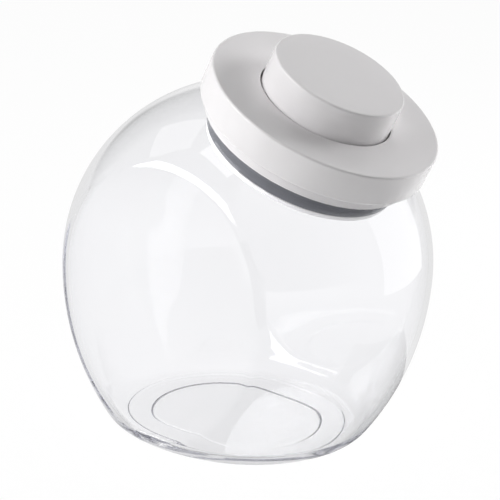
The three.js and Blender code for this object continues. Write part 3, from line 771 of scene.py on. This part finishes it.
class JAR_OT_spring(bpy.types.Operator):
    """Winds the return spring with closed end turns"""
    bl_idname = "storage_jar.spring"
    bl_label = "Return Spring"

    def execute(self, context):
        wire = context.scene.wire_sizes
        low = -wire.coil_low + wire.coil_wire
        high = wire.coil_high - wire.coil_wire
        closed = CLOSED_CLIMB * wire.coil_wire
        bm = bmesh.new()
        start = Matrix.Translation((wire.coil_radius, 0, low)) @ Matrix.Rotation(
            FULL_TURN / 4, 4, "X")
        end = wire_end(bm, wire.coil_wire, start)
        open_turns = wire.coil_turns - 2
        for turns, climb in ((1, closed), (open_turns, high - low - 2 * closed), (1, closed)):
            end = swept(
                bm, end, (0, 0, 0), (0, 0, 1), turns * FULL_TURN, turns * TURN_STEPS, climb)
        closed_wire(bm)
        place = lid_place()
        bmesh.ops.transform(bm, matrix=place, verts=bm.verts)
        spring = add_piece(
            "spring_coil", bm, finish_of(spring_steel), "lid", ["return_spring"])
        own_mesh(spring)
        return {"FINISHED"}


class JAR_OT_latch(bpy.types.Operator):
    """Bends the latch wire: foot, upright and the tip that follows the heart-shaped track"""
    bl_idname = "storage_jar.latch"
    bl_label = "Latch Wire"

    def execute(self, context):
        wire = context.scene.wire_sizes
        bend = wire.latch_bend
        corner = wire.latch_upright - bend
        low, high = -wire.latch_low, -wire.latch_high
        bm = bmesh.new()
        start = Matrix.Translation((wire.latch_foot, 0, low)) @ Matrix.Rotation(
            FULL_TURN / 4, 4, "Y")
        end = wire_end(bm, wire.latch_wire, start)
        end = pushed(bm, end, (corner - wire.latch_foot, 0, 0))
        end = swept(bm, end, (corner, 0, low + bend), (0, -1, 0), FULL_TURN / 4, BEND_STEPS)
        end = pushed(bm, end, (0, 0, high - low - 2 * bend))
        end = swept(bm, end, (corner, 0, high - bend), (0, -1, 0), FULL_TURN / 4, BEND_STEPS)
        pushed(bm, end, (wire.latch_tip - corner, 0, 0))
        closed_wire(bm)
        bmesh.ops.transform(bm, matrix=lid_place(), verts=bm.verts)
        add_piece("latch_bent_wire", bm, finish_of(spring_steel), "latch", ["latch_wire"])
        return {"FINISHED"}


class JAR_OT_works(bpy.types.Operator):
    """Dresses the frame, the base and the works inside the lid from their CAD solids"""
    bl_idname = "storage_jar.works"
    bl_label = "Frame and Inner Works"

    def execute(self, context):
        dressed = {
            "lid_frame": ("frame_ring", "lid", white_abs, "white_plastic"),
            "lid_base": ("base_plate", "lid", white_abs, "white_plastic"),
            "press_ring": ("press_band", "press_ring", natural_pom, "inner_plastic"),
            "button_carrier": ("carrier_stem", "button", natural_pom, "inner_plastic"),
        }
        for i in range(1, 5):
            dressed[f"lever_{i}"] = (f"lever_arm_{i}", f"lever_{i}", natural_pom, "inner_plastic")
            dressed[f"lever_pin_{i}"] = (f"lever_axle_{i}", "lid", spring_steel, "steel")
        for node, (name, body, maker, slot) in dressed.items():
            bm = bmesh.new()
            bm.from_mesh(frame["nodes"][node].data)
            bmesh.ops.remove_doubles(bm, verts=bm.verts, dist=MERGE_GAP)
            bmesh.ops.dissolve_limit(
                bm, angle_limit=math.radians(0.5), verts=bm.verts, edges=bm.edges)
            add_piece(name, bm, finish_of(maker), body, [node], sharp=30)
        return {"FINISHED"}


def add_lamp(name, power, size, place, aim):
    """A soft rectangular lamp at a place, facing a point."""
    data = bpy.data.lights.new(name, "AREA")
    data.energy = power
    data.shape = "RECTANGLE"
    data.size, data.size_y = size
    lamp = bpy.data.objects.new(name, data)
    lamp.location = place
    lamp.rotation_mode = "QUATERNION"
    lamp.rotation_quaternion = (Vector(aim) - Vector(place)).to_track_quat("-Z", "Y")
    bpy.context.scene.collection.objects.link(lamp)
    return lamp


class JAR_OT_stage(bpy.types.Operator):
    """Sets the ground, the room, the mirrored cards, the lamps and the camera"""
    bl_idname = "storage_jar.stage"
    bl_label = "Stage"

    def execute(self, context):
        stage = context.scene.jar_stage
        context.scene.view_settings.view_transform = "Standard"
        light = context.scene.cycles
        light.max_bounces = LIGHT_BOUNCES
        light.transmission_bounces = LIGHT_BOUNCES
        light.glossy_bounces = LIGHT_BOUNCES
        light.transparent_max_bounces = VEIL_BOUNCES
        az, el = stage.azimuth, stage.elevation
        back = Vector((math.sin(az) * math.cos(el), -math.cos(az) * math.cos(el), math.sin(el)))
        right = Vector((math.cos(az), math.sin(az), 0))
        up = back.cross(right)
        aim = stage.aim_side * right + Vector((0, 0, stage.aim_height))
        self.add_camera(context, stage, back, right, up, aim)
        front = Vector((math.sin(az), -math.cos(az), 0))
        self.add_floor()
        self.add_room(context, stage, right, front)

        def level_way(turn):
            """Level direction at a turn to the right of the camera's side."""
            turn = math.radians(turn)
            return math.sin(turn) * right + math.cos(turn) * front

        # A black card stands in front of the jar, and a grey card of painted shadow lies on the ground
        # to its right.
        self.add_card(
            "black_card", "#1c1c1c", size=(0.3, 0.15), place=0.3 * level_way(-20), height=0.075, lean=90)
        # Painted shadow: this grey card darkens the ground in mirror images where the jar's shadow would
        # fall.
        self.add_card(
            "painted_shadow_card", "#808080", size=(0.15, 0.16), place=0.127 * level_way(79),
            height=0.1 * MM - GROUND_DROP, lean=0)
        # Each lamp's power, its width and height in metres, its turn to the right of the camera's side
        # and its climb above the horizon in degrees, and the kinds of light that see it.
        for name, power, size, turn, climb, kinds in (
                ("key_lamp", stage.key, (0.88, 0.45), -63, 29, {"diffuse", "glossy", "transmission"}),
                ("fill_lamp", stage.fill, (0.4, 0.4), 119, 18, {"diffuse"}),
                ("hair_lamp", stage.hair, (0.5, 0.5), 165, 58, {"diffuse"}),
                ("side_panel", stage.side, (0.7, 0.6), 108, 6, {"diffuse", "glossy"}),
                ("top_lamp", stage.top, (0.4, 0.4), -60, 78, {"glossy"}),
                ("back_panel", stage.back, (0.35, 0.35), -120, 49, {"diffuse", "glossy"})):
            climb = math.radians(climb)
            way = math.cos(climb) * level_way(turn) + math.sin(climb) * Vector((0, 0, 1))
            lamp = add_lamp(name, power, size, LIT_POINT + LAMP_REACH * way, LIT_POINT)
            self.show_to(lamp, kinds)
        return {"FINISHED"}

    def show_to(self, item, kinds):
        """Lets only these kinds of light ray see a lamp or a card."""
        for kind in ("diffuse", "glossy", "transmission", "volume_scatter"):
            setattr(item, f"visible_{kind}", kind in kinds)

    def add_camera(self, context, stage, back, right, up, aim):
        """Camera at the photograph's place, turned by its roll."""
        data = bpy.data.cameras.new("photo_camera")
        data.sensor_width = 36.0
        data.lens = stage.lens
        camera = bpy.data.objects.new("photo_camera", data)
        context.scene.collection.objects.link(camera)
        across = math.cos(stage.roll) * right + math.sin(stage.roll) * up
        upright = math.cos(stage.roll) * up - math.sin(stage.roll) * right
        turn = Matrix((across, upright, back)).transposed().to_4x4()
        camera.matrix_world = Matrix.Translation(aim + stage.distance * back) @ turn
        context.scene.camera = camera

    def tones_along(self, tree, way, axis, tones):
        """Tones that change along an axis, for the direction that a light ray goes."""
        facing = add_node(tree, "ShaderNodeVectorMath", {1: axis}, {0: way}, operation="DOT_PRODUCT")
        share = add_node(
            tree, "ShaderNodeMapRange", {"From Min": -1.0}, {"Value": facing.outputs["Value"]})
        tone = add_node(tree, "ShaderNodeValToRGB", links={"Fac": share.outputs["Result"]})
        stops = tone.color_ramp.elements
        for _ in tones[2:]:
            stops.new(0.5)
        for stop, (position, value) in zip(stops, tones):
            stop.position, stop.color = position, (value, value, value, 1)
        return tone.outputs["Color"]

    def mirrored(self, tree, path):
        """One for what a mirror image shows, nought for what is seen straight or through the jar."""
        bounced = add_node(
            tree, "ShaderNodeMath", {1: 0.5}, {0: path["Glossy Depth"]}, operation="GREATER_THAN")
        return bounced.outputs[0]

    def add_card(self, name, code, size, place, height, lean):
        """Card that only mirror images show, flat on the ground or leant up to face the jar."""
        bm = bmesh.new()
        bmesh.ops.create_grid(bm, x_segments=1, y_segments=1, size=0.5)
        bmesh.ops.scale(bm, vec=(*size, 1), verts=bm.verts)
        across = math.atan2(place.y, place.x) + FULL_TURN / 4
        bmesh.ops.transform(
            bm, verts=bm.verts, matrix=Matrix.Translation((place.x, place.y, height)) @ Matrix.Rotation(
                across, 4, "Z") @ Matrix.Rotation(math.radians(lean), 4, "X"))
        mesh = bpy.data.meshes.new(name)
        bm.to_mesh(mesh)
        bm.free()
        card = bpy.data.objects.new(name, mesh)
        bpy.context.scene.collection.objects.link(card)
        material, _, shader, _, _ = start_material(name)
        shader.inputs["Base Color"].default_value = (*linear(code), 1)
        shader.inputs["Roughness"].default_value = 0.9
        mesh.materials.append(material)
        self.show_to(card, {"glossy"})
        card.visible_camera = card.visible_shadow = False

    def add_floor(self):
        """Pale ground that shows white and keeps a faint shadow, and that mirror images look past."""
        bm = bmesh.new()
        bmesh.ops.create_grid(bm, x_segments=1, y_segments=1, size=GROUND_HALF)
        bmesh.ops.translate(bm, vec=(0, 0, -GROUND_DROP), verts=bm.verts)
        mesh = bpy.data.meshes.new("ground")
        bm.to_mesh(mesh)
        bm.free()
        ground = bpy.data.objects.new("ground", mesh)
        bpy.context.scene.collection.objects.link(ground)
        material, tree, shader, output, place = start_material("white_paper")
        path = add_node(tree, "ShaderNodeLightPath").outputs
        paper = add_node(
            tree, "ShaderNodeMix",
            {COLOUR_A: (*linear("#f7f7f7"), 1), COLOUR_B: (*linear("#f2f2f2"), 1)},
            {"Factor": path["Is Diffuse Ray"]}, data_type="RGBA")
        # The paper's fibres are drawn coarser than they are, so that they show.
        fibre = add_node(
            tree, "ShaderNodeTexNoise", {"Scale": per_metre(3), "Detail": 2.0}, {"Vector": place})
        matt = add_node(
            tree, "ShaderNodeMapRange", {"To Min": 0.85, "To Max": 0.95},
            {"Value": fibre.outputs["Fac"]})
        tree.links.new(paper.outputs[COLOUR_OUT], shader.inputs["Base Color"])
        tree.links.new(matt.outputs["Result"], shader.inputs["Roughness"])
        glow = add_node(tree, "ShaderNodeEmission", {"Color": (1, 1, 1, 1), "Strength": 1.0})
        share = add_node(
            tree, "ShaderNodeMapRange", {"To Min": GLOW_SHARE, "To Max": 0.0},
            {"Value": path["Is Diffuse Ray"]})
        white = add_node(tree, "ShaderNodeMixShader", links={"Fac": share.outputs["Result"]})
        tree.links.new(shader.outputs["BSDF"], white.inputs[1])
        tree.links.new(glow.outputs["Emission"], white.inputs[2])
        passed = add_node(tree, "ShaderNodeBsdfTransparent")
        mix = add_node(tree, "ShaderNodeMixShader", links={"Fac": self.mirrored(tree, path)})
        tree.links.new(white.outputs["Shader"], mix.inputs[1])
        tree.links.new(passed.outputs["BSDF"], mix.inputs[2])
        tree.links.new(mix.outputs["Shader"], output.inputs["Surface"])
        mesh.materials.append(material)

    def add_room(self, context, stage, right, front):
        """Room round the stage: white behind the jar, grey in mirror images, dim on matt faces."""
        world = bpy.data.worlds.new("studio_room")
        world.use_nodes = True
        tree = world.node_tree
        tree.nodes.clear()
        way = add_node(tree, "ShaderNodeTexCoord").outputs["Generated"]
        path = add_node(tree, "ShaderNodeLightPath").outputs
        high = self.tones_along(tree, way, front, ROOM_TONES)
        ground_axis = (Vector((0, 0, 1)) - 0.1 * right - 0.25 * front).normalized()
        low = self.tones_along(tree, way, ground_axis, FLOOR_TONES)
        level = add_node(tree, "ShaderNodeSeparateXYZ", links={"Vector": way}).outputs["Z"]
        above = add_node(tree, "ShaderNodeMath", {1: 0.0}, {0: level}, operation="GREATER_THAN")
        tone = add_node(
            tree, "ShaderNodeMix",
            links={"Factor": above.outputs[0], NUMBER_A: low, NUMBER_B: high}, data_type="FLOAT")
        seen = add_node(
            tree, "ShaderNodeMix", {NUMBER_A: 1.0},
            {"Factor": self.mirrored(tree, path), NUMBER_B: tone.outputs[0]}, data_type="FLOAT")
        dim = add_node(
            tree, "ShaderNodeMix", {NUMBER_B: stage.shade},
            {"Factor": path["Is Diffuse Ray"], NUMBER_A: seen.outputs[0]}, data_type="FLOAT")
        room = add_node(
            tree, "ShaderNodeBackground", {"Color": (1, 1, 1, 1)}, {"Strength": dim.outputs[0]})
        output = add_node(tree, "ShaderNodeOutputWorld")
        tree.links.new(room.outputs["Background"], output.inputs["Surface"])
        context.scene.world = world


PIECES = (
    JAR_OT_body, JAR_OT_cover, JAR_OT_button, JAR_OT_seal, JAR_OT_spring, JAR_OT_latch,
    JAR_OT_works, JAR_OT_stage)


class JAR_PT_panel(bpy.types.Panel):
    """Lists the jar's pieces and its main sizes"""
    bl_idname = "JAR_PT_panel"
    bl_label = "Storage Jar"
    bl_space_type = "VIEW_3D"
    bl_region_type = "UI"
    bl_category = "Storage Jar"

    def draw(self, context):
        column = self.layout.column(align=True)
        for piece in PIECES:
            column.operator(piece.bl_idname)
        for name in GROUPS:
            group = getattr(context.scene, name)
            box = self.layout.box()
            for key in group.__annotations__:
                box.prop(group, key)


GROUPS = {
    "jar_sizes": JarSizes,
    "lid_sizes": LidSizes,
    "wire_sizes": WireSizes,
    "jar_finishes": Finishes,
    "jar_stage": StageSettings,
}
CLASSES = (*GROUPS.values(), *PIECES, JAR_PT_panel)


def register():
    for item in CLASSES:
        bpy.utils.register_class(item)
    for name, group in GROUPS.items():
        setattr(bpy.types.Scene, name, PointerProperty(type=group))


def unregister():
    for name in GROUPS:
        delattr(bpy.types.Scene, name)
    for item in reversed(CLASSES):
        bpy.utils.unregister_class(item)


def main():
    register()
    bpy.ops.storage_jar.body()
    bpy.ops.storage_jar.cover()
    bpy.ops.storage_jar.button()
    bpy.ops.storage_jar.seal()
    bpy.ops.storage_jar.spring()
    bpy.ops.storage_jar.latch()
    bpy.ops.storage_jar.works()
    bpy.ops.storage_jar.stage()


if __name__ == "__main__":
    main()
